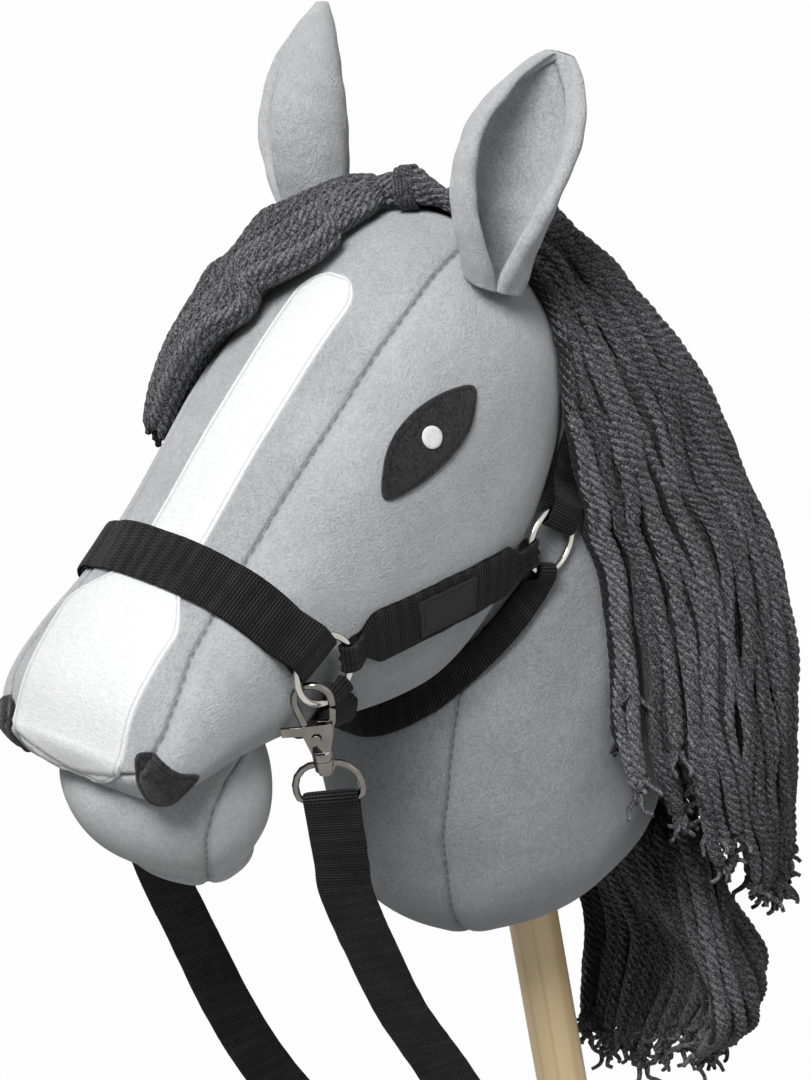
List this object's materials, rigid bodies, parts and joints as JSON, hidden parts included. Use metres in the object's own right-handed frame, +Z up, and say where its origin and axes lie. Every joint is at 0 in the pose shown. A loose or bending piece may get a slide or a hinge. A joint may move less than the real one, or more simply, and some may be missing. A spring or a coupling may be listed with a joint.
{
  "type": "hobby horse",
  "caption": "Stuffed horse head and neck on a round wooden stick, with a yarn mane, felt eyes and blaze, and a webbing halter whose rings carry reins on snap hooks.",
  "frame": {"origin": "centre of the stick's flat foot", "axes": "+Z up along the stick, the horse faces -Y, its left side is +X"},
  "size_m": [0.2216, 0.3941, 1.1377],
  "materials": {
    "grey_plush": "short pile plush",
    "white_felt": "felt with a satin-stitched edge",
    "black_felt": "felt",
    "black_webbing": "ribbed woven webbing",
    "label_leather": "matt imitation leather",
    "nickel_plate": "polished dark nickel",
    "grey_yarn": "heathered wool-look yarn",
    "pine": "smooth unlacquered pine"
  },
  "bodies": {
    "horse": {"head": "grey_plush", "neck": "grey_plush", "lower_jaw": "grey_plush", "ear_left": "grey_plush", "ear_right": "grey_plush", "stick": "pine", "blaze": "white_felt", "eye_left": "black_felt", "eye_highlight_left": "white_felt", "nostril_left": "black_felt", "eye_right": "black_felt", "eye_highlight_right": "white_felt", "nostril_right": "black_felt", "noseband": "black_webbing", "chin_strap": "black_webbing", "crown_strap": "black_webbing", "throat_strap": "black_webbing", "cheek_strap_left": "black_webbing", "cheek_strap_right": "black_webbing", "label_patch": "label_leather", "mane_near": "grey_yarn", "mane_far": "grey_yarn", "forelock": "grey_yarn", "poll_tie": "grey_yarn"},
    "mouth_ring_left": {"mouth_ring_left": "nickel_plate"},
    "mouth_ring_right": {"mouth_ring_right": "nickel_plate"},
    "cheek_ring_left": {"cheek_ring_left": "nickel_plate"},
    "cheek_ring_right": {"cheek_ring_right": "nickel_plate"},
    "reins": {"rein": "black_webbing", "swivel_loop_left": "nickel_plate", "swivel_loop_right": "nickel_plate"},
    "hook_left": {"hook_body_left": "nickel_plate", "hook_rivet_left": "nickel_plate"},
    "gate_left": {"hook_gate_left": "nickel_plate"},
    "hook_right": {"hook_body_right": "nickel_plate", "hook_rivet_right": "nickel_plate"},
    "gate_right": {"hook_gate_right": "nickel_plate"}
  },
  "joints": [
    {"name": "mouth_ring_left_turn", "type": "hinge", "parent": "horse", "child": "mouth_ring_left", "pos_m": [0.07142, -0.15645, 0.92084], "axis": [0.9984, -0.0524, -0.019], "continuous": true},
    {"name": "mouth_ring_right_turn", "type": "hinge", "parent": "horse", "child": "mouth_ring_right", "pos_m": [-0.07142, -0.15645, 0.92084], "axis": [-0.9984, -0.0524, -0.019], "continuous": true},
    {"name": "cheek_ring_left_turn", "type": "hinge", "parent": "horse", "child": "cheek_ring_left", "pos_m": [0.06538, -0.00619, 0.90924], "axis": [0.9929, 0.0868, -0.0815], "continuous": true},
    {"name": "cheek_ring_right_turn", "type": "hinge", "parent": "horse", "child": "cheek_ring_right", "pos_m": [-0.06538, -0.00619, 0.90924], "axis": [-0.9929, 0.0868, -0.0815], "continuous": true},
    {"name": "reins_swing", "type": "hinge", "parent": "horse", "child": "reins", "pos_m": [0, -0.16602, 0.91735], "axis": [1, 0, 0], "range_deg": [0, 8]},
    {"name": "hook_swivel_left", "type": "hinge", "parent": "reins", "child": "hook_left", "pos_m": [0.07085, -0.16602, 0.87955], "axis": [0, 0, 1], "range_deg": [-1, 4]},
    {"name": "gate_hinge_left", "type": "hinge", "parent": "hook_left", "child": "gate_left", "pos_m": [0.07023, -0.16653, 0.89135], "axis": [0.6428, -0.766, 0], "range_deg": [0, 14], "stiffness_Nm_per_rad": 0.02, "springref_deg": -22.92},
    {"name": "hook_swivel_right", "type": "hinge", "parent": "reins", "child": "hook_right", "pos_m": [-0.07085, -0.16602, 0.87955], "axis": [0, 0, 1], "range_deg": [-4, 1]},
    {"name": "gate_hinge_right", "type": "hinge", "parent": "hook_right", "child": "gate_right", "pos_m": [-0.07146, -0.16653, 0.89135], "axis": [0.6428, -0.766, 0], "range_deg": [0, 14], "stiffness_Nm_per_rad": 0.02, "springref_deg": -22.92}
  ]
}
